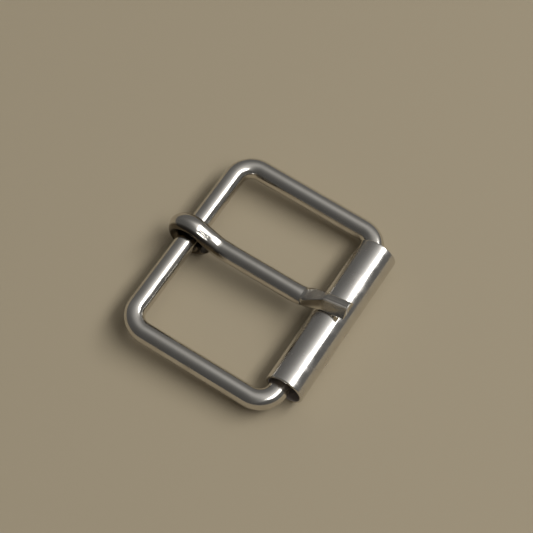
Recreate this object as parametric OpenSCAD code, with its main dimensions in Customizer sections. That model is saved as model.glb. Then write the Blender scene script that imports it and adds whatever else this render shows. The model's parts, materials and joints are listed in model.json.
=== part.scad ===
// Roller buckle for a 25 mm strap, lying loose on a flat surface.
// A closed loop of bent wire carries a hinged prong on one bar and a loose roller on the other.
// X runs from the prong's bar to the roller, Y along the bars, Z up from the surface it lies on.

/* [Wire frame] */
// Diameter of the frame's wire
wire_d = 3.0; // [2.4:0.1:4.0]
// Clear width between the two side bars, which a strap passes through
opening_w = 27.0; // [22:0.5:45]
// Clear depth between the prong's bar and the roller's bar
opening_d = 19.6; // [16:0.2:30]
// Inside radius of each corner bend
corner_r = 1.4; // [0.8:0.1:3.0]

/* [Roller] */
// Outside diameter of the roller
roller_d = 5.7; // [5.4:0.1:7.0]
// Wall of the rolled sheet
roller_wall = 0.45; // [0.3:0.05:0.5]
// Length of the roller
roller_len = 24.6; // [12:0.1:24.8]
// How far the roller has slid along its bar from the middle
roller_slide = 0.55; // [0:0.05:0.6]
// Gap between the bar and the inside of the roller where they come nearest
bar_clear = 0.12; // [0.08:0.02:0.3]
// Where they come nearest, in degrees below the side toward the prong's bar
bar_turn = 26.5; // [0:0.5:60]
// Bevel on the four edges of the roller's ends
rim_bevel = 0.12; // [0.05:0.01:0.14]
// Width of the seam where the rolled sheet meets
seam_w = 0.12; // [0.06:0.02:0.3]
// Where the seam lies round the roller, in degrees from straight up toward the prong's bar
seam_angle = 160; // [120:5:180]

/* [Prong] */
// Diameter of the prong's wire
prong_d = 2.8; // [2.4:0.1:3.2]
// Thickness of the prong's wire where it is flattened to curl round the bar
eye_t = 1.9; // [1.6:0.05:2.2]
// How much wider the wire gets on each side where it is flattened
eye_spread = 0.06; // [0.04:0.01:0.2]
// How much the wire thins where it leaves the curl, on each side
eye_thin = 0.05; // [0.03:0.01:0.1]
// Gap between the bar and the inside of the curl
eye_gap = 0.2; // [0.1:0.05:0.3]
// How far round the bar the curl goes from its top to the cut end, in degrees
eye_wrap = 283; // [200:1:285]
// Distance of the prong from the middle of its bar
prong_shift = 1.2; // [-3:0.1:3]
// Slope of the wire where it comes down from the curl, in degrees
fall_angle = 31; // [25:1:35]
// Length of that sloping stretch
fall_len = 3.5; // [3:0.1:4]
// Slope of the long straight stretch, in degrees
run_angle = 2.5; // [1:0.5:4]
// Inside radius of the prong's bend
prong_bend_r = 1.6; // [1.2:0.1:2.0]
// How much the wire swells in that bend, on each side
bend_swell = 0.02; // [0.015:0.005:0.04]

/* [Stamped tip] */
// Width of the stamped wire underneath
tip_w = 2.7; // [2.2:0.1:2.7]
// Width of the flat on top of the stamped wire
top_w = 1.15; // [0.8:0.05:1.6]
// Lean of the stamped flanks, in degrees from upright
flank_lean = 24; // [15:1:35]
// Thickness of the tip over the roller
tip_t = 2.0; // [1.8:0.1:2.4]
// Thickness of the stamped wire where it rises to the roller
rise_t = 1.5; // [1.3:0.1:1.8]
// Slope of the stamped wire where it rises to the roller, in degrees
rise_angle = 40; // [36:1:42]
// Slope of the tip over the roller, in degrees
tip_angle = 14; // [8:1:16]
// How far the tip reaches past the roller's crown
tip_reach = 2.1; // [1:0.1:2.4]
// Gap between the tip and the roller
tip_gap = 0.1; // [0.08:0.02:0.3]
// Depth of the step where the stamping starts
step_h = 0.15; // [0.1:0.05:0.3]
// Bevel on the upper edge of the cut end
end_bevel = 0.3; // [0.1:0.05:0.5]

/* [Hidden] */
$fn = 96;

wire_r = wire_d / 2;
bend_r = corner_r + wire_r;
bar_gap = opening_d + wire_d;
side_gap = opening_w + wire_d;

roller_r = roller_d / 2;
bore_r = roller_r - roller_wall;

prong_r = prong_d / 2;
eye_in = wire_r + eye_gap;
eye_out = eye_in + eye_t;
eye_mid = eye_in + eye_t / 2;
prong_bend = prong_bend_r + prong_r;

// The roller hangs off its bar, which lies behind and below the roller's own axis
bar_play = bore_r - wire_r - bar_clear;
bar_offset = bar_play * cos(bar_turn);
bar_drop = bar_play * sin(bar_turn);

// Heights of the two bars when the curl and the roller both touch the surface below
prong_bar_z = eye_out;
roller_bar_z = roller_r - bar_drop;
tilt = asin((prong_bar_z - roller_bar_z) / bar_gap);

// The origin is under the middle of the whole buckle, from the curl to the roller
reach = eye_out + bar_gap * cos(tilt) + bar_offset + roller_r;
prong_bar_x = eye_out - reach / 2;
roller_x = reach / 2 - roller_r;

// A unit vector along a slope, and the one square to it that points up
function along(slope) = [cos(slope), sin(slope)];
function across(slope) = [-sin(slope), cos(slope)];

// Where two lines meet, each given by a point and its slope in degrees
function meet(a, a_slope, b, b_slope) =
    a + cross(b - a, along(b_slope)) / cross(along(a_slope), along(b_slope)) * along(a_slope);

// The prong's wire seen from the side, as X and Z along its centre line
prong_bar = [prong_bar_x, prong_bar_z];
fall_from = prong_bar + eye_mid * across(-fall_angle);
fall_to = fall_from + fall_len * along(-fall_angle);

// The bend between the two slopes, and how far the straight lengths run on into it
fall_turn = fall_angle - run_angle;
bend_cut = prong_bend * tan(fall_turn / 2);
bend_lap = prong_bend / 15;
fall_end = fall_len - bend_cut + bend_lap;
bend_at = fall_to + bend_cut * along(-run_angle) + prong_bend * across(-run_angle);
run_from = fall_to + (bend_cut - bend_lap) * along(-run_angle);

// The stamped wire clears the roller by the same gap under its rise and under its tip
roller_axis = [roller_x, roller_r];
clear_r = roller_r + tip_gap;
rise_low = roller_axis + clear_r * across(rise_angle);
rise_high = rise_low + rise_t * across(rise_angle);
tip_low = roller_axis + clear_r * across(tip_angle);
tip_high = tip_low + tip_t * across(tip_angle);
tip_end = meet(tip_high, tip_angle, [roller_x + tip_reach, 0], 90);

// The stamping starts where its upper face comes out of the round wire
run_high = fall_to + (prong_r - step_h) * across(-run_angle);
step_at = meet(run_high, -run_angle, rise_high, rise_angle);
run_end = meet(fall_to, -run_angle, step_at, 90 - run_angle);
run_low = fall_to - (prong_r - step_h) * across(-run_angle);
heel_at = meet(run_low, -run_angle, rise_low, rise_angle);

// Turns a shape drawn in the XY plane so that it stands in the XZ plane, at a height along Y
module upright(y) {
    translate([0, y, 0]) rotate([90, 0, 0]) children();
}

// A straight length of round wire between two points in the XY plane
module rod(a, b, r) {
    translate([a[0], a[1], 0]) rotate([0, 0, atan2(b[1] - a[1], b[0] - a[0])]) rotate([0, 90, 0])
        cylinder(h = norm(b - a), r = r);
}

// A bend of round wire in the XY plane, about a centre, from one angle through another
module bend(centre, radius, r, from, through) {
    translate([centre[0], centre[1], 0]) rotate([0, 0, from])
        rotate_extrude(angle = through) translate([radius, 0]) circle(r = r);
}

// The loop lies in its own plane, with the prong's bar on the Y axis
module loop() {
    x = [bend_r, bar_gap - bend_r];
    y = side_gap / 2 - bend_r;
    for (side = [-1, 1]) {
        rod([x[0], side * side_gap / 2], [x[1], side * side_gap / 2], wire_r);
    }
    for (bar = [0, bar_gap]) {
        rod([bar, -y], [bar, y], wire_r);
    }
    bend([x[0], -y], bend_r, wire_r, 180, 90);
    bend([x[1], -y], bend_r, wire_r, 270, 90);
    bend([x[1], y], bend_r, wire_r, 0, 90);
    bend([x[0], y], bend_r, wire_r, 90, 90);
}

module frame() {
    color("gainsboro") translate([prong_bar_x, 0, prong_bar_z]) rotate([0, tilt, 0]) loop();
}

// Half section of the roller: radius across, length up, with its edges bevelled
module roller_section() {
    h = roller_len / 2;
    b = rim_bevel;
    polygon([
        [bore_r, b - h], [bore_r + b, -h], [roller_r - b, -h], [roller_r, b - h],
        [roller_r, h - b], [roller_r - b, h], [bore_r + b, h], [bore_r, h - b]
    ]);
}

module roller() {
    color("silver") translate([roller_x, roller_slide, roller_r]) rotate([90, 0, 0]) difference() {
        rotate_extrude() roller_section();
        rotate([0, 0, seam_angle]) translate([-seam_w / 2, 0, -roller_len])
            cube([seam_w, roller_d, 2 * roller_len]);
    }
}

// Section of the curl: the round wire pressed flat on its inner and outer side
module eye_section() {
    intersection() {
        circle(r = prong_r + eye_spread);
        square([eye_t, 2 * prong_d], center = true);
    }
}

// The curl turns back under the bar from the point where the wire leaves it
module eye() {
    translate(prong_bar) rotate(90 - fall_angle) rotate_extrude(angle = eye_wrap)
        translate([eye_mid, 0]) eye_section();
}

// The pressed flats run out along the wire as it comes down from inside the curl's own thickness
module fall() {
    start = eye_t / 2 - eye_thin;
    spread = prong_r + eye_thin;
    translate(fall_from) rotate(-fall_angle) intersection() {
        translate([-bend_lap, 0, 0]) rotate([0, 90, 0]) cylinder(h = bend_lap + fall_end, r = prong_r);
        linear_extrude(2 * prong_d, center = true) polygon([
            [-bend_lap, -start], [0, -start], [fall_end, -spread],
            [fall_end, spread], [0, start], [-bend_lap, start]
        ]);
    }
}

module prong_wire() {
    eye();
    fall();
    bend(bend_at, prong_bend, prong_r + bend_swell, 270 - fall_angle, fall_turn);
    rod(run_from, run_end, prong_r);
}

// The stamped end of the prong, seen from the side
module tip_profile() {
    top = meet(rise_high, rise_angle, tip_high, tip_angle);
    low = meet(rise_low, rise_angle, tip_low, tip_angle);
    end_low = tip_end - tip_t * across(tip_angle);
    polygon([
        step_at, top, tip_end - end_bevel * along(tip_angle),
        tip_end - end_bevel * across(tip_angle), end_low, low, heel_at
    ]);
}

// Cuts one flank of the stamped wire, from the edge of the flat on top, along the given slope
module flank_cut(at, slope, side) {
    translate([at[0], at[1], side * top_w / 2]) rotate([0, 0, slope])
        rotate([side * (90 - flank_lean), 0, 0])
        translate([-reach, 0, -prong_d]) cube([2 * reach, prong_d, 2 * prong_d]);
}

module tip() {
    difference() {
        linear_extrude(tip_w, center = true) tip_profile();
        for (side = [-1, 1]) {
            flank_cut(rise_high, rise_angle, side);
            flank_cut(tip_high, tip_angle, side);
        }
    }
}

module prong() {
    color("darkgray") upright(prong_shift) {
        prong_wire();
        tip();
    }
}

frame();
roller();
prong();
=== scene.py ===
import json
import math

import bpy
import numpy as np
from mathutils import Matrix, Vector


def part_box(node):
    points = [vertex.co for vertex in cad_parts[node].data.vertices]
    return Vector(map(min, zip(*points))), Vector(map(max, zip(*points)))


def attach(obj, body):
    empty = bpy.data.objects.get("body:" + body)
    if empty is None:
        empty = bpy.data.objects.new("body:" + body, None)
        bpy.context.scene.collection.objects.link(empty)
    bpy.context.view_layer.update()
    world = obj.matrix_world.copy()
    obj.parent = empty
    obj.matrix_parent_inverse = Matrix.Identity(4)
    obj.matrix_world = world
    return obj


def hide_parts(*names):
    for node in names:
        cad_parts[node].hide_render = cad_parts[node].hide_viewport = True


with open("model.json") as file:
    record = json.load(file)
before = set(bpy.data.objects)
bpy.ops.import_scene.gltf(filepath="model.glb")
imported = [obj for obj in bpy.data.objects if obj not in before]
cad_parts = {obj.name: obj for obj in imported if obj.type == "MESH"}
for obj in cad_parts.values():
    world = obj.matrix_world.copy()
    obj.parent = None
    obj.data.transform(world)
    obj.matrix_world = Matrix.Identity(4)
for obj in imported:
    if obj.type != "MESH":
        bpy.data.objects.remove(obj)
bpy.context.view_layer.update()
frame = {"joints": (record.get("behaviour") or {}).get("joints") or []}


# Wire frame
# The buckle's body is one length of 3 mm steel wire, bent to a closed rectangle and nickel plated.
# Its two ends meet under the roller. It slopes down toward the roller's bar, because the prong's
# curl holds the other bar higher.
mm = 0.001
wire_r = 1.5
corner_r = 1.4
opening_depth = 19.6
opening_width = 27.0
bend_r = corner_r + wire_r
bar_gap = opening_depth + 2 * wire_r
side_gap = opening_width + 2 * wire_r
frame_slope = math.radians(2.785)

# The joint of the prong lies on the axis of its bar, at the middle of its curl
joint_at = {joint["name"]: [at / mm for at in joint["pos_m"]] for joint in frame["joints"]}
prong_bar_x, curl_middle, prong_bar_z = joint_at["prong_swing"]

# Points round the wire, steps along each bend and each straight length, and the power of a round
# section
points_round = 96
corner_steps = 18
bar_steps = 16
round_wire = 2

# In a bend the wire gets narrower and lower by these shares, and its section a little squarer. A
# lower onset makes that set in sooner.
bend_narrows = 0.022
bend_lowers = 0.004
bend_squares = 0.12
bend_onset = 0.6


def loop_point(across, along):
    """A point in the frame's own plane, which slopes down toward the roller's bar."""
    return (prong_bar_x + across * math.cos(frame_slope), along,
            prong_bar_z - across * math.sin(frame_slope))


def wire_section(half_w, half_h, power=round_wire):
    """Offsets round a wire's section: power 2 is an ellipse, and a higher power squares it."""
    angle = np.linspace(0, 2 * np.pi, points_round, endpoint=False) - np.pi / 2
    cosine, sine = np.cos(angle), np.sin(angle)
    w = half_w * np.sign(cosine) * np.abs(cosine) ** (2 / power)
    h = half_h * np.sign(sine) * np.abs(sine) ** (2 / power)
    return w, h


def smooth_piece(name, points, faces, uvs):
    """A smooth mesh in the scene, whose UV map runs along the wire or sheet and round it."""
    mesh = bpy.data.meshes.new(name)
    mesh.from_pydata([tuple(point) for point in points], [], faces)
    mesh.uv_layers.new(name="along_wire").data.foreach_set("uv", np.array(uvs, float).ravel())
    mesh.polygons.foreach_set("use_smooth", [True] * len(mesh.polygons))
    mesh.validate()
    mesh.update()
    piece = bpy.data.objects.new(name, mesh)
    bpy.context.scene.collection.objects.link(piece)
    return piece


def wire_piece(name, stations, closed=False):
    """Skins a wire. Each station is a centre, a sideways and an upward direction, and the offsets
    of its section along them. A wire that isn't closed gets a flat cap on each end. The map counts
    the step that closes a loop as one millimetre."""
    centres = np.array([station[0] for station in stations], float)
    steps = np.linalg.norm(np.diff(centres, axis=0), axis=1)
    lengths = [0.0, *np.cumsum(steps)]
    rings = [centre + np.outer(w, side) + np.outer(h, up)
             for centre, (_, side, up, (w, h)) in zip(centres, stations)]
    points = np.concatenate(rings) * mm
    closing_step = 1.0
    share = np.arange(points_round + 1) / points_round
    faces, uvs = [], []
    for i in range(len(rings) if closed else len(rings) - 1):
        j = (i + 1) % len(rings)
        here, there = i * points_round, j * points_round
        a, b = lengths[i], lengths[j] if j else lengths[i] + closing_step
        for k in range(points_round):
            m = (k + 1) % points_round
            faces.append((here + k, there + k, there + m, here + m))
            uvs += [(a, share[k]), (b, share[k]), (b, share[k + 1]), (a, share[k + 1])]
    if not closed:
        last = (len(rings) - 1) * points_round
        cap = tuple(range(points_round))
        for face in (cap, tuple(last + k for k in reversed(cap))):
            faces.append(face)
            uvs += [(points[v][1] / mm, points[v][2] / mm) for v in face]
    return smooth_piece(name, points, faces, uvs)


def corner_point(side_x, side_y, angle):
    """A point on the wire's centre line in one bend, and the direction out of the bend there."""
    out = (math.cos(math.radians(angle)), math.sin(math.radians(angle)))
    across = bar_gap / 2 + side_x * (bar_gap / 2 - bend_r) + bend_r * out[0]
    along = side_y * (side_gap / 2 - bend_r) + bend_r * out[1]
    return across, along, out


def frame_stations():
    """Goes once round the loop, through each bend and along the straight length after it. In each
    bend the wire flattens a little against the former."""
    corners = ((1, 1, 0), (-1, 1, 90), (-1, -1, 180), (1, -1, 270))
    up = (math.sin(frame_slope), 0, math.cos(frame_slope))
    stations = []

    def add(across, along, out, press):
        side = (out[0] * math.cos(frame_slope), out[1], -out[0] * math.sin(frame_slope))
        outline = wire_section(wire_r * (1 - bend_narrows * press), wire_r * (1 - bend_lowers * press),
                               round_wire + bend_squares * press)
        stations.append((loop_point(across, along), side, up, outline))

    for (side_x, side_y, start), after in zip(corners, corners[1:] + corners[:1]):
        for step in range(corner_steps + 1):
            turn = step / corner_steps
            press = math.sin(math.pi * turn) ** bend_onset
            add(*corner_point(side_x, side_y, start + 90 * turn), press)
        across, along, out = corner_point(side_x, side_y, start + 90)
        next_across, next_along, _ = corner_point(*after)
        for step in range(1, bar_steps):
            part = step / bar_steps
            add(across + (next_across - across) * part, along + (next_along - along) * part, out, 0.0)
    return stations


def feed(tree, socket, value):
    """Sets a node's socket to a number or colour, or links another node's output to it."""
    if isinstance(value, bpy.types.NodeSocket):
        tree.links.new(value, socket)
    else:
        socket.default_value = value


def maths(tree, kind, *values):
    """Works out one step of maths from numbers and other nodes' outputs."""
    made = tree.nodes.new("ShaderNodeMath")
    made.operation = kind
    for socket, value in zip(made.inputs, values):
        feed(tree, socket, value)
    return made.outputs[0]


def times(tree, first, *others):
    """Multiplies masks and numbers with each other."""
    product = first
    for other in others:
        product = maths(tree, "MULTIPLY", product, other)
    return product


def away(tree, value, middle):
    """How far a value is from a middle, to either side."""
    return maths(tree, "ABSOLUTE", maths(tree, "SUBTRACT", value, middle))


def fading(tree, value, full, none, way="SMOOTHSTEP"):
    """A mask that is 1 where the value is at full or past it, and fades to 0 where it is at none."""
    made = tree.nodes.new("ShaderNodeMapRange")
    made.interpolation_type = way
    for name, given in (("Value", value), ("From Min", none), ("From Max", full)):
        feed(tree, made.inputs[name], given)
    return made.outputs[0]


def noise(tree, at, scale, detail, roughness=0.5):
    """Cloudy noise over a piece, from 0 to 1."""
    made = tree.nodes.new("ShaderNodeTexNoise")
    for name, given in (("Vector", at), ("Scale", scale), ("Detail", detail), ("Roughness", roughness)):
        feed(tree, made.inputs[name], given)
    return made.outputs["Fac"]


def blended(tree, kind, mask, plain, changed):
    """One colour or value where a mask is 0, blending into another where it is 1."""
    made = tree.nodes.new("ShaderNodeMix")
    made.data_type = kind
    for name, given in (("Factor", mask), ("A", plain), ("B", changed)):
        feed(tree, made.inputs[name], given)
    return made.outputs["Result"]


def split(tree, vector):
    """The three parts of a vector."""
    made = tree.nodes.new("ShaderNodeSeparateXYZ")
    feed(tree, made.inputs[0], vector)
    return made.outputs


def place_in_mm(tree):
    """Where a point of the piece lies in the buckle's own frame, in millimetres."""
    place = tree.nodes.new("ShaderNodeTexCoord")
    scaled = tree.nodes.new("ShaderNodeVectorMath")
    scaled.operation = "SCALE"
    feed(tree, scaled.inputs[0], place.outputs["Object"])
    feed(tree, scaled.inputs["Scale"], 1 / mm)
    return scaled.outputs[0]


def node_group(name, inputs, outputs):
    """An empty shader node group with named sockets."""
    group = bpy.data.node_groups.new(name, "ShaderNodeTree")
    for way, sockets in (("INPUT", inputs), ("OUTPUT", outputs)):
        for socket in sockets:
            kind = "NodeSocketColor" if socket in ("Colour", "Dull colour") else "NodeSocketFloat"
            group.interface.new_socket(socket, in_out=way, socket_type=kind)
    return group


# Drawn lines are noise that is drawn out along the wire. Clouds and pits are noise of this scale to
# the millimetre, and the clouds' noise counts from none at one value to full at another.
line_stretch = 0.09
line_detail = 4.0
line_roughness = 0.62
cloud_scale = 0.42
cloud_detail = 3.0
cloud_full = 0.72
cloud_none = 0.38
pit_scale = 2.6
pit_detail = 2.0

# Clouds and lines each change the roughness: its base share, and what they add where they are full
cloud_base = 0.64
cloud_adds = 0.9
line_base = 0.72
line_adds = 0.5


def plated_surface():
    """Drawn lines, cloudy plating and fine pits, shared by the buckle's three nickel finishes."""
    group = node_group(
        "plated_surface",
        ("Colour", "Dull colour", "Roughness", "Line depth", "Lines round", "Pit depth"),
        ("Colour", "Roughness", "Height"))
    given = group.nodes.new("NodeGroupInput").outputs
    out = group.nodes.new("NodeGroupOutput").inputs

    wire_map = group.nodes.new("ShaderNodeUVMap")
    wire_map.uv_map = "along_wire"
    along, around, _ = split(group, wire_map.outputs["UV"])
    drawn = group.nodes.new("ShaderNodeCombineXYZ")
    feed(group, drawn.inputs[0], times(group, along, line_stretch))
    feed(group, drawn.inputs[1], times(group, around, given["Lines round"]))
    lines = noise(group, drawn.outputs[0], 1.0, line_detail, line_roughness)
    place = place_in_mm(group)
    clouds = noise(group, place, cloud_scale, cloud_detail)
    cloudy = fading(group, clouds, cloud_full, cloud_none, "LINEAR")
    pits = noise(group, place, pit_scale, pit_detail)

    tint = blended(group, "RGBA", cloudy, given["Colour"], given["Dull colour"])
    uneven = maths(group, "MULTIPLY_ADD", cloudy, cloud_adds, cloud_base)
    streaked = maths(group, "MULTIPLY_ADD", lines, line_adds, line_base)
    scored = times(group, lines, given["Line depth"])
    pitted = times(group, pits, given["Pit depth"])
    feed(group, out["Colour"], tint)
    feed(group, out["Roughness"], times(group, uneven, streaked, given["Roughness"]))
    feed(group, out["Height"], maths(group, "ADD", scored, pitted))
    return group


surface_group = plated_surface()
relief_depth = 0.1 * mm


def nickel(name, colour, dull, roughness, line_depth, lines_round, pit_depth):
    """Bright nickel over steel: a metal whose colour, gloss and relief come from the shared group."""
    material = bpy.data.materials.new(name)
    material.use_nodes = True
    tree = material.node_tree
    shader = tree.nodes["Principled BSDF"].inputs
    surface = tree.nodes.new("ShaderNodeGroup")
    surface.name = "surface"
    surface.node_tree = surface_group
    for socket, given in (("Colour", (*colour, 1)), ("Dull colour", (*dull, 1)),
                          ("Roughness", roughness), ("Line depth", line_depth),
                          ("Lines round", lines_round), ("Pit depth", pit_depth)):
        surface.inputs[socket].default_value = given
    relief = tree.nodes.new("ShaderNodeBump")
    relief.name = "relief"
    feed(tree, relief.inputs["Distance"], relief_depth)
    feed(tree, relief.inputs["Height"], surface.outputs["Height"])
    feed(tree, shader["Metallic"], 1.0)
    feed(tree, shader["Base Color"], surface.outputs["Colour"])
    feed(tree, shader["Roughness"], surface.outputs["Roughness"])
    feed(tree, shader["Normal"], relief.outputs["Normal"])
    return material


# The colour of the painted shade that darkens the nickel in and around the curl and in the stamped
# hollow
painted_shade_colour = (0.13, 0.11, 0.085, 1)


def add_painted_shade(material, mask_group):
    """Darkens the nickel by the painted shade's mask, and gives all the masks of the group."""
    tree = material.node_tree
    masks = tree.nodes.new("ShaderNodeGroup")
    masks.node_tree = mask_group
    unshaded = tree.nodes["surface"].outputs["Colour"]
    with_painted_shade = blended(tree, "RGBA", masks.outputs["Painted shade"], unshaded, painted_shade_colour)
    feed(tree, tree.nodes["Principled BSDF"].inputs["Base Color"], with_painted_shade)
    return masks.outputs


def from_bar_axis(tree, x, z):
    """How far a point is from the axis of the prong's bar."""
    off_x = maths(tree, "SUBTRACT", x, prong_bar_x)
    off_z = maths(tree, "SUBTRACT", z, prong_bar_z)
    squares = maths(tree, "ADD", times(tree, off_x, off_x), times(tree, off_z, off_z))
    return maths(tree, "SQRT", squares)


# A mask has two distances or places, in millimetres: where it is full and where it has faded out
# How far the bar's painted shade reaches along the bar from the curl's middle, and round its axis
shade_along_bar = (1.5, 1.9)
shade_round_bar = (1.6, 2.4)


def bar_masks():
    """Painted shade on the bar: inside the prong's curl, and just beside it, where the curl shades it.
    """
    group = node_group("bar_masks", (), ("Painted shade",))
    out = group.nodes.new("NodeGroupOutput").inputs
    x, y, z = split(group, place_in_mm(group))
    along = fading(group, away(group, y, curl_middle), *shade_along_bar)
    around = fading(group, from_bar_axis(group, x, z), *shade_round_bar)
    feed(group, out["Painted shade"], times(group, along, around))
    return group


frame_nickel = nickel("frame_nickel", colour=(0.70, 0.675, 0.63), dull=(0.62, 0.59, 0.54),
                      roughness=0.18, line_depth=0.042, lines_round=26.0, pit_depth=0.014)
# Painted shade on the bar in and beside the prong's curl
add_painted_shade(frame_nickel, bar_masks())
wire_frame = wire_piece("wire_frame", frame_stations(), closed=True)
wire_frame.data.materials.append(frame_nickel)
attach(wire_frame, "frame")
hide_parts("frame")


# Roller
# A short tube rolled from 0.45 mm steel sheet and nickel plated. It is loose on its bar, its seam
# has turned underneath, and the shear has left the rims slightly rounded.
roller_x, _, roller_z = joint_at["roller_spin"]
roller_start, roller_end = (corner.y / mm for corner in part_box("roller"))
sheet = 0.45
tube_points_round = 144

# The roller lies on the floor, so its radius is the height of its axis
roller_r = roller_z

# Half the seam's width, and where it lies in degrees from straight up toward the prong's bar
seam_half = 0.06
seam_angle = 160
seam_turn = math.radians(90 + seam_angle)

# How far each ring at a rim is from the tube's end, and how far it is drawn into the sheet. The
# faces of the rims lie at one place of the map.
rim_inset = 0.12
rim_rings = ((0.0, rim_inset), (0.035, 0.05), (0.09, 0.012), (0.16, 0.0))
rim_on_map = 0.1
plain_from_end = 0.4
plain_rings = 40

# The sheet sways in two waves along the tube, each with its depth, its turn to the millimetre and
# its start. They twist slowly round the tube, and the sheet lies a little inside its true radius.
sway_waves = ((0.003, 1.9, 0), (0.002, 4.3, 1))
sway_twist = 0.12
inside_true = 0.006


def out_of_round(y, angle):
    """How far the sheet strays from a true tube. It never strays outward."""
    sway = sum(depth * math.sin(turn * y + start) for depth, turn, start in sway_waves)
    return sway * math.sin(2 * angle + sway_twist * y) - inside_true


def roller_piece():
    """Follows the rolled sheet's C-shaped section along the bar: its outer side, then its inner.
    The outer side and the faces of the rims stray from a true tube."""
    plain = np.linspace(roller_start + plain_from_end, roller_end - plain_from_end, plain_rings)
    stops = [(roller_start + back, inset) for back, inset in rim_rings]
    stops += [(y, 0.0) for y in plain]
    stops += [(roller_end - back, inset) for back, inset in reversed(rim_rings)]
    count, ring = tube_points_round, 2 * tube_points_round
    points, faces, uvs, materials = [], [], [], []
    for y, inset in stops:
        for outer in (True, False):
            r = roller_r - inset if outer else roller_r - sheet + inset
            seam_open = (seam_half + inset) / r
            for k in range(count) if outer else reversed(range(count)):
                angle = seam_turn + seam_open + (2 * math.pi - 2 * seam_open) * k / (count - 1)
                strays = out_of_round(y, angle) if outer or inset == rim_inset else 0.0
                points.append(((roller_x + (r + strays) * math.cos(angle)) * mm, y * mm,
                               (roller_z + (r + strays) * math.sin(angle)) * mm))
    for i, (a, b) in enumerate(zip(stops, stops[1:])):
        for k in range(ring):
            m = (k + 1) % ring
            faces.append((i * ring + k, (i + 1) * ring + k, (i + 1) * ring + m, i * ring + m))
            uvs += [(a[0], k / ring), (b[0], k / ring), (b[0], (k + 1) / ring), (a[0], (k + 1) / ring)]
            materials.append(int(count <= k < ring - 1))
    for base, flip in ((0, False), ((len(stops) - 1) * ring, True)):
        for k in range(count - 1):
            rim = (base + k, base + k + 1, base + ring - 2 - k, base + ring - 1 - k)
            faces.append(rim[::-1] if flip else rim)
            uvs += [(rim_on_map, k / ring)] * 4
            materials.append(0)
    piece = smooth_piece("roller_tube", points, faces, uvs)
    piece.data.polygons.foreach_set("material_index", materials)
    return piece


bare_colour = (0.36, 0.32, 0.30, 1)
bare_roughness = 0.6


def bare_steel():
    """The inside of the tube, where the plating bath hardly reached: dull brown-grey steel."""
    material = bpy.data.materials.new("bare_steel")
    material.use_nodes = True
    shader = material.node_tree.nodes["Principled BSDF"].inputs
    shader["Base Color"].default_value = bare_colour
    shader["Roughness"].default_value = bare_roughness
    return material


roller_nickel = nickel("roller_nickel", colour=(0.71, 0.69, 0.65), dull=(0.64, 0.61, 0.57),
                       roughness=0.22, line_depth=0.032, lines_round=60.0, pit_depth=0.012)
roller_tube = roller_piece()
roller_tube.data.materials.append(roller_nickel)
roller_tube.data.materials.append(bare_steel())
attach(roller_tube, "roller")
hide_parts("roller")


# Prong
# The tongue is a length of 2.8 mm steel wire, nickel plated. One end is pressed flat and curled
# loosely round the bar. The other is stamped narrower on top, stepped up and laid over the roller.
prong_r = 1.4
curl_gap = 0.2
curl_half_t = 0.95
curl_half_w = 1.46
curl_squareness = 1.7
curl_wrap = 283
curl_mid = wire_r + curl_gap + curl_half_t
fall_slope = -31.0
run_slope = -2.5
rise_slope = 40.0
tip_slope = 14.0
fall_length = 3.5
prong_bend_r = 1.6
bend_mid = prong_bend_r + prong_r
tip_gap = 0.1
clear_r = roller_r + tip_gap

# The stamped end, seen from the side: where the stamping begins, the knee of its upper face and
# the end of that face. Its flanks lean from half the foot's width to half the top's.
stamp_x = 7.2
knee_top = np.array([10.62, 7.455])
tip_end = np.array([14.11, 8.41])
foot_half_w = 1.37
first_top_half_w = 1.3
top_half_w = 0.57


def along_slope(slope):
    """The direction of a slope in degrees, seen from the side as X and Z."""
    return np.array([math.cos(math.radians(slope)), math.sin(math.radians(slope))])


def across_slope(slope):
    """The direction square to a slope in degrees, pointing up from it."""
    return np.array([-math.sin(math.radians(slope)), math.cos(math.radians(slope))])


def crossing(a, a_slope, b, b_slope):
    """Where two lines in the side view meet, each given by a point and its slope in degrees."""
    da, db = along_slope(a_slope), along_slope(b_slope)
    gap = b - a
    return a + (gap[0] * db[1] - gap[1] * db[0]) / (da[0] * db[1] - da[1] * db[0]) * da


def rounding(a, corner, b, steps):
    """Points on the curve from a to b that rounds off the corner between them."""
    parts = [step / steps for step in range(steps + 1)]
    return [(1 - part) ** 2 * a + 2 * part * (1 - part) * corner + part ** 2 * b for part in parts]


# The centre line: it leaves the curl, falls to a corner and turns into the run, round the pivot
curl_centre = np.array([prong_bar_x, prong_bar_z])
leave_at = curl_centre + curl_mid * across_slope(fall_slope)
corner_at = leave_at + fall_length * along_slope(fall_slope)
bend_turn = run_slope - fall_slope
bend_cut = bend_mid * math.tan(math.radians(bend_turn / 2))
pivot = corner_at + bend_cut * along_slope(run_slope) + bend_mid * across_slope(run_slope)
run_start = pivot - bend_mid * across_slope(run_slope)

# The under side turns up at the heel, clears the roller by an even gap and ends under the tip
roller_centre = np.array([roller_x, roller_z])
rise_low = roller_centre + clear_r * across_slope(rise_slope)
tip_low = roller_centre + clear_r * across_slope(tip_slope)
run_low = corner_at - prong_r * across_slope(run_slope)
heel = crossing(run_low, run_slope, rise_low, rise_slope)
knee_low = crossing(rise_low, rise_slope, tip_low, tip_slope)
end_low = crossing(tip_low, tip_slope, np.array([tip_end[0], 0.0]), 90)

# The heel's curve reaches this far along the run and along the rise, and above it the round wire
# ends just before the stamping
heel_along_run = 1.5
heel_along_rise = 1.35
before_stamp = 0.12
run_top = corner_at + prong_r * across_slope(run_slope)
stamp_at = crossing(run_top, run_slope, np.array([stamp_x, 0.0]), 90)
heel_start = heel - heel_along_run * along_slope(run_slope)
heel_end = heel + heel_along_rise * along_slope(rise_slope)
run_end = heel_start + prong_r * across_slope(run_slope)
top_start = run_end + prong_r * across_slope(run_slope)
top_end = stamp_at - before_stamp * along_slope(run_slope)

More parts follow.
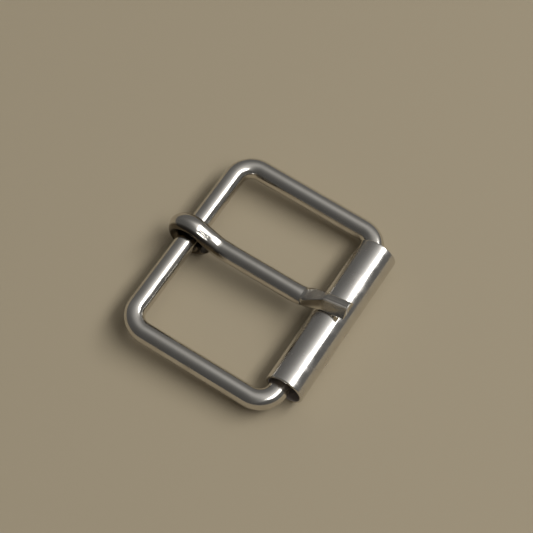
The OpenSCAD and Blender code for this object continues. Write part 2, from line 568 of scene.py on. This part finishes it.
# Steps along each stretch of the wire. Down the fall the pressed wire thickens a little late at
# first, and then catches up.
curl_steps = 80
fall_steps = 30
bend_steps = 12
run_steps = 16
heel_steps = 12
late_growth = 0.04


def prong_station(centre, up, outline):
    """A station of the prong's wire, which lies in the plane through the middle of its curl."""
    return (centre[0], curl_middle, centre[1]), (0, -1, 0), (up[0], 0, up[1]), outline


def curl_stations():
    """From the cut end under the bar round to where the wire leaves the curl."""
    outline = wire_section(curl_half_w, curl_half_t, curl_squareness)
    stations = []
    for step in range(curl_steps + 1):
        turn = 90 + fall_slope + curl_wrap * (1 - step / curl_steps)
        centre = curl_centre + curl_mid * along_slope(turn)
        stations.append(prong_station(centre, across_slope(turn - 90), outline))
    return stations


def fall_stations():
    """Down the straight fall, where the pressed wire thickens and turns round again."""
    stations = []
    for step in range(1, fall_steps + 1):
        part = step / fall_steps
        ease = part * part * (3 - 2 * part)
        even = part - late_growth * math.sin(2 * math.pi * part)
        outline = wire_section(curl_half_w + (prong_r - curl_half_w) * ease,
                               curl_half_t + (prong_r - curl_half_t) * even,
                               curl_squareness + (round_wire - curl_squareness) * ease)
        centre = leave_at + (fall_length - bend_cut) * part * along_slope(fall_slope)
        stations.append(prong_station(centre, across_slope(fall_slope), outline))
    return stations


def run_stations():
    """Round the bend and along the straight run of round wire."""
    outline = wire_section(prong_r, prong_r)
    stations = []
    for step in range(1, bend_steps + 1):
        up = across_slope(fall_slope + bend_turn * step / bend_steps)
        stations.append(prong_station(pivot - bend_mid * up, up, outline))
    for step in range(1, run_steps + 1):
        centre = run_start + (run_end - run_start) * step / run_steps
        stations.append(prong_station(centre, across_slope(run_slope), outline))
    return stations


def station_between(top, low, outline):
    """A station whose section stands between a point of the upper side and one of the lower."""
    up = (top - low) / np.linalg.norm(top - low)
    return prong_station((top + low) / 2, up, outline)


def heel_stations():
    """The heel turns up underneath while the top runs on to where the stamping begins."""
    lows = rounding(heel_start, heel, heel_end, heel_steps)
    stations = []
    for step in range(1, heel_steps + 1):
        top = top_start + (top_end - top_start) * step / heel_steps
        low = lows[step]
        outline = wire_section(prong_r, np.linalg.norm(top - low) / 2)
        stations.append(station_between(top, low, outline))
    return stations


# The flanks lean down to this many half heights below the top, and meet the rest of the section in
# edges of this sharpness
flank_drop = 1.7
edge_sharpness = 16


def pressed_section(half_w, half_h, power, foot, top):
    """The wire's section with its flanks pressed flat: they lean evenly outward, from half the
    width top above to half the width foot below."""
    w, h = wire_section(half_w, half_h, power)
    flank = top + (foot - top) * np.minimum(1, (1 - h / half_h) / flank_drop)
    return w / (1 + np.abs(w / flank) ** edge_sharpness) ** (1 / edge_sharpness), h


def rounded_line(points, cut, steps):
    """A bent line whose corners are rounded off, over the same length before and after each."""
    line = [points[0]]
    for before, at, after in zip(points, points[1:], points[2:]):
        a = at + (before - at) / np.linalg.norm(before - at) * cut
        b = at + (after - at) / np.linalg.norm(after - at) * cut
        line += rounding(a, at, b, steps)
    return np.array(line + [points[-1]])


def lengths_along(line):
    """How far along a line each of its points is."""
    return np.concatenate(([0.0], np.cumsum(np.linalg.norm(np.diff(line, axis=0), axis=1))))


def point_along(line, lengths, at):
    """The point of a line that is a given length along it."""
    return np.array([np.interp(at, lengths, line[:, k]) for k in (0, 1)])


# Over the step and then up the rise the section gets squarer, and the wire is squeezed out against
# its flanks
step_length = 0.5
step_squareness = 1.0
rise_squareness = 5.0
squeezed_out = 0.2

# Rings at even lengths between two margins, and at the corners, which are rounded off
stamped_rings = 26
first_ring, last_ring = 0.3, 0.12
top_rounding, top_steps = 0.3, 6
low_rounding, low_steps = 0.35, 8


def stamped_stations():
    """The stamped end: a hollowed rise and a tip over the roller, narrower above than below."""
    # The first two points are left out, because the rounding starts before the line does
    tops = rounded_line([top_end, stamp_at, knee_top, tip_end], top_rounding, top_steps)[2:]
    lows = rounded_line([heel_end, knee_low, end_low], low_rounding, low_steps)
    top_lengths, low_lengths = lengths_along(tops), lengths_along(lows)
    top_length, low_length = top_lengths[-1], low_lengths[-1]
    top_knee = top_length - np.linalg.norm(tip_end - knee_top)
    low_knee = low_length - np.linalg.norm(end_low - knee_low)
    even = np.linspace(first_ring, top_length - last_ring, stamped_rings)
    stations = []
    for at in sorted([*top_lengths[:-1], *even]):
        top = point_along(tops, top_lengths, at)
        under = np.interp(at, [0, top_knee, top_length], [0, low_knee, low_length])
        low = point_along(lows, low_lengths, under)
        stepped = min(1.0, at / step_length)
        onward = min(1.0, at / top_knee)
        power = round_wire + step_squareness * stepped + rise_squareness * onward
        flat = first_top_half_w + (top_half_w - first_top_half_w) * onward
        outline = pressed_section(prong_r + squeezed_out * onward, np.linalg.norm(top - low) / 2,
                                  power, foot_half_w, flat)
        stations.append(station_between(top, low, outline))
    return stations


# How far each ring at the cut end is from it, and how far it is drawn in all round
cut_end_rings = ((0.06, 0.003), (0.03, 0.012), (0.01, 0.028), (0.0, 0.05))


def cut_end_stations():
    """The sheared end of the tip, with its edges slightly rounded."""
    power = round_wire + step_squareness + rise_squareness
    stations = []
    for back, inset in cut_end_rings:
        top = tip_end - back * along_slope(tip_slope) - inset * across_slope(tip_slope)
        low = end_low - back * along_slope(tip_slope) + inset * across_slope(tip_slope)
        outline = pressed_section(prong_r + squeezed_out - inset, np.linalg.norm(top - low) / 2,
                                  power, foot_half_w - inset, top_half_w - inset)
        stations.append(station_between(top, low, outline))
    return stations


def curl_painted_shade(group, x, z, from_middle):
    """Painted shade inside the curl, on its cut end and on its sides, and on the sides of the wire that
    leaves it, apart from their outermost rims, which stay bright."""
    sides_off_middle, sides_reach = (1.15, 0.8), (5.2, 7.0)
    rims_off_middle, rims_start = (1.42, 1.34), (4.4, 3.6)
    cut_below_bar, cut_past_bar = (-0.5, 0.2), (1.2, 0.6)
    inside = (1.9, 2.9)
    from_bar = from_bar_axis(group, x, z)
    rims = times(group, fading(group, from_middle, *rims_off_middle),
                 fading(group, from_bar, *rims_start))
    sides = times(group, fading(group, from_middle, *sides_off_middle),
                  fading(group, from_bar, *sides_reach), maths(group, "SUBTRACT", 1.0, rims))
    below = maths(group, "SUBTRACT", z, prong_bar_z)
    past = maths(group, "SUBTRACT", x, prong_bar_x)
    cut_end = times(group, fading(group, below, *cut_below_bar), fading(group, past, *cut_past_bar))
    outside = maths(group, "MAXIMUM", sides, cut_end)
    return maths(group, "MAXIMUM", outside, fading(group, from_bar, *inside))


def hollow_painted_shade(group, x, z, from_middle):
    """Painted shade in the stamped hollow. It is darkest on the flanks, under the edges of the flat on
    top, which gets narrower up the rise. A trace of it lies on the round wire before."""
    flat_narrowing, flat_edge = 0.2135, (2.85, 2.65)
    flank_below, flank_reach, flank_shade = (-1.7, -2.35), (9.8, 11.1), 0.85
    top_reach, top_shade = (7.9, 9.6), 0.42
    hollow_start = (7.6, 7.15)
    trace_start, trace_end, trace_width, trace_shade = (7.0, 5.2), (7.2, 8.2), (1.3, 1.05), 0.2
    off_flat = maths(group, "ADD", from_middle, times(group, x, flat_narrowing))
    up = across_slope(rise_slope)
    height = maths(group, "ADD", times(group, z, float(up[1])), times(group, x, float(up[0])))
    flanks = times(group, fading(group, off_flat, *flat_edge), fading(group, height, *flank_below),
                   fading(group, x, *flank_reach), flank_shade)
    on_top = times(group, fading(group, x, *top_reach), top_shade)
    hollow = times(group, fading(group, x, *hollow_start), maths(group, "MAXIMUM", flanks, on_top))
    trace = times(group, fading(group, x, *trace_start), fading(group, x, *trace_end),
                  fading(group, from_middle, *trace_width), trace_shade)
    return maths(group, "MAXIMUM", hollow, trace)


def tool_mark(group, place, x, y, z):
    """The scuffed mark that the closing tool left on the curl."""
    mark_x, mark_y = -8.95, 0.68
    mark_length, mark_width, mark_below = (0.6, 1.1), (0.16, 0.34), (4.6, 4.0)
    scuff_scale, scuff_detail = 3.2, 1.0
    return times(group, fading(group, away(group, x, mark_x), *mark_length),
                 fading(group, away(group, y, mark_y), *mark_width),
                 noise(group, place, scuff_scale, scuff_detail), fading(group, z, *mark_below))


def dull_edge(group, x, y):
    """The dull line along the near edge of the flat on top of the tip."""
    edge_y, edge_width, edge_start = 0.72, (0.07, 0.2), (10.9, 10.2)
    return times(group, fading(group, away(group, y, edge_y), *edge_width),
                 fading(group, x, *edge_start))


def prong_masks():
    """The prong's painted shade, tool mark and dull edge."""
    group = node_group("prong_masks", (), ("Painted shade", "Mark", "Edge"))
    out = group.nodes.new("NodeGroupOutput").inputs
    place = place_in_mm(group)
    x, y, z = split(group, place)
    from_middle = away(group, y, curl_middle)
    painted_shade = maths(group, "MAXIMUM", curl_painted_shade(group, x, z, from_middle),
                 hollow_painted_shade(group, x, z, from_middle))
    feed(group, out["Painted shade"], painted_shade)
    feed(group, out["Mark"], tool_mark(group, place, x, y, z))
    feed(group, out["Edge"], dull_edge(group, x, y))
    return group


mark_depth = 1.1
dull_roughness = 0.9


def prong_finish():
    """The prong's nickel, with its painted shade, its tool mark as relief and its dull edge."""
    material = nickel("prong_nickel", colour=(0.68, 0.655, 0.61), dull=(0.60, 0.57, 0.52),
                      roughness=0.16, line_depth=0.042, lines_round=26.0, pit_depth=0.016)
    tree = material.node_tree
    masks = add_painted_shade(material, prong_masks())
    surface = tree.nodes["surface"].outputs
    marked = maths(tree, "MULTIPLY_ADD", masks["Mark"], -mark_depth, surface["Height"])
    dulled = blended(tree, "FLOAT", masks["Edge"], surface["Roughness"], dull_roughness)
    feed(tree, tree.nodes["relief"].inputs["Height"], marked)
    feed(tree, tree.nodes["Principled BSDF"].inputs["Roughness"], dulled)
    return material


prong_wire = wire_piece("prong_wire", curl_stations() + fall_stations() + run_stations()
                        + heel_stations() + stamped_stations() + cut_end_stations())
prong_wire.data.materials.append(prong_finish())
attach(prong_wire, "prong")
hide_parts("prong")


# Floor, light and camera
# A plain pale floor, a long panel light high on the roller's side, a dim room whose ceiling glows
# beside the panel, and the camera at the photograph's angle. The floor and light are in metres.
floor_half = 3
floor_colour = (0.433, 0.364, 0.252, 1)
floor_roughness = 0.9


def pale_floor():
    """A square of paper that reaches out of the picture on all sides."""
    corners = [(x, y, 0) for x, y in ((-1, -1), (1, -1), (1, 1), (-1, 1))]
    mesh = bpy.data.meshes.new("studio_floor")
    mesh.from_pydata([Vector(corner) * floor_half for corner in corners], [], [(0, 1, 2, 3)])
    floor = bpy.data.objects.new("studio_floor", mesh)
    bpy.context.scene.collection.objects.link(floor)
    material = bpy.data.materials.new("floor_paper")
    material.use_nodes = True
    shader = material.node_tree.nodes["Principled BSDF"].inputs
    shader["Base Color"].default_value = floor_colour
    shader["Roughness"].default_value = floor_roughness
    mesh.materials.append(material)


pale_floor()

panel_from = Vector((0.521, 0.277, 0.807)).normalized()
panel_distance = 0.8
panel_length = 0.85
panel_width = 0.225
panel_power = 3.5


def panel_light():
    """A long panel light whose long side lies along the buckle's bars."""
    light = bpy.data.lights.new("panel_light", "AREA")
    light.shape = "RECTANGLE"
    light.size, light.size_y = panel_length, panel_width
    light.energy = panel_power
    made = bpy.data.objects.new("panel_light", light)
    made.location = panel_from * panel_distance
    long_side = (Vector((0, 1, 0)) - panel_from * panel_from.y).normalized()
    turned = Matrix((long_side, panel_from.cross(long_side), panel_from)).transposed()
    made.rotation_mode = "QUATERNION"
    made.rotation_quaternion = turned.to_quaternion()
    bpy.context.scene.collection.objects.link(made)


panel_light()

# The ceiling's glow, by its angles from straight up. It fades slowly from its brightest angle to
# the prong's side, and ends at its edge toward the roller. Along the bars it has a strong middle
# and a weak one, each with its width in radians. The walls get a little brighter toward +Y.
glow_brightest = math.radians(32)
glow_edge = (math.radians(36), math.radians(48))
glow_fade = 0.35
strong_middle, strong_width = math.radians(22), 0.44
weak_middle, weak_width, weak_share = math.radians(-8), 0.6, 0.12
glow_strength = 2.2
wall_strength = 0.115
wall_slant = 0.04
room_colour = (1.0, 0.985, 0.96, 1)


def room_glow():
    """A dim room: the ceiling glows next to the panel light and fades away from it."""
    world = bpy.data.worlds.new("room")
    bpy.context.scene.world = world
    world.use_nodes = True
    tree = world.node_tree
    direction = tree.nodes.new("ShaderNodeTexCoord").outputs["Generated"]
    x, y, z = split(tree, direction)
    sideways = maths(tree, "ARCTAN2", x, z)
    forward = maths(tree, "ARCTAN2", y, z)

    def bell(middle, width):
        off_middle = maths(tree, "DIVIDE", maths(tree, "SUBTRACT", forward, middle), width)
        return maths(tree, "EXPONENT", times(tree, off_middle, off_middle, -1.0))

    short_of = maths(tree, "SUBTRACT", maths(tree, "MINIMUM", sideways, glow_brightest), glow_brightest)
    fade = maths(tree, "EXPONENT", maths(tree, "DIVIDE", short_of, glow_fade))
    spread = maths(tree, "MULTIPLY_ADD", bell(weak_middle, weak_width), weak_share,
                   bell(strong_middle, strong_width))
    glow = times(tree, fade, fading(tree, sideways, *glow_edge), spread)
    walls = maths(tree, "MULTIPLY_ADD", y, wall_slant, wall_strength)
    background = tree.nodes["Background"].inputs
    feed(tree, background["Color"], room_colour)
    feed(tree, background["Strength"], maths(tree, "MULTIPLY_ADD", glow, glow_strength, walls))


room_glow()

camera_azimuth = math.radians(32.4475)
camera_elevation = math.radians(62.435)
camera_distance = 252.81
camera_target = Vector((-0.7287, 3.987, 0))
photo_width = 533
focal_length_in_pixels = 1800
sensor_width = 36
nearest_seen, farthest_seen = 0.01, 20


def photo_camera():
    """The camera at the photograph's angle and distance, framed as the photograph is."""
    back = Vector((math.sin(camera_azimuth) * math.cos(camera_elevation),
                   -math.cos(camera_azimuth) * math.cos(camera_elevation),
                   math.sin(camera_elevation)))
    camera = bpy.data.objects.new("camera", bpy.data.cameras.new("camera"))
    camera.data.sensor_width = sensor_width
    camera.data.lens = sensor_width * focal_length_in_pixels / photo_width
    camera.data.clip_start, camera.data.clip_end = nearest_seen, farthest_seen
    camera.location = (camera_target + back * camera_distance) * mm
    camera.rotation_mode = "QUATERNION"
    camera.rotation_quaternion = back.to_track_quat("Z", "Y")
    bpy.context.scene.collection.objects.link(camera)
    bpy.context.scene.camera = camera


photo_camera()
bpy.context.scene.view_settings.view_transform = "Standard"
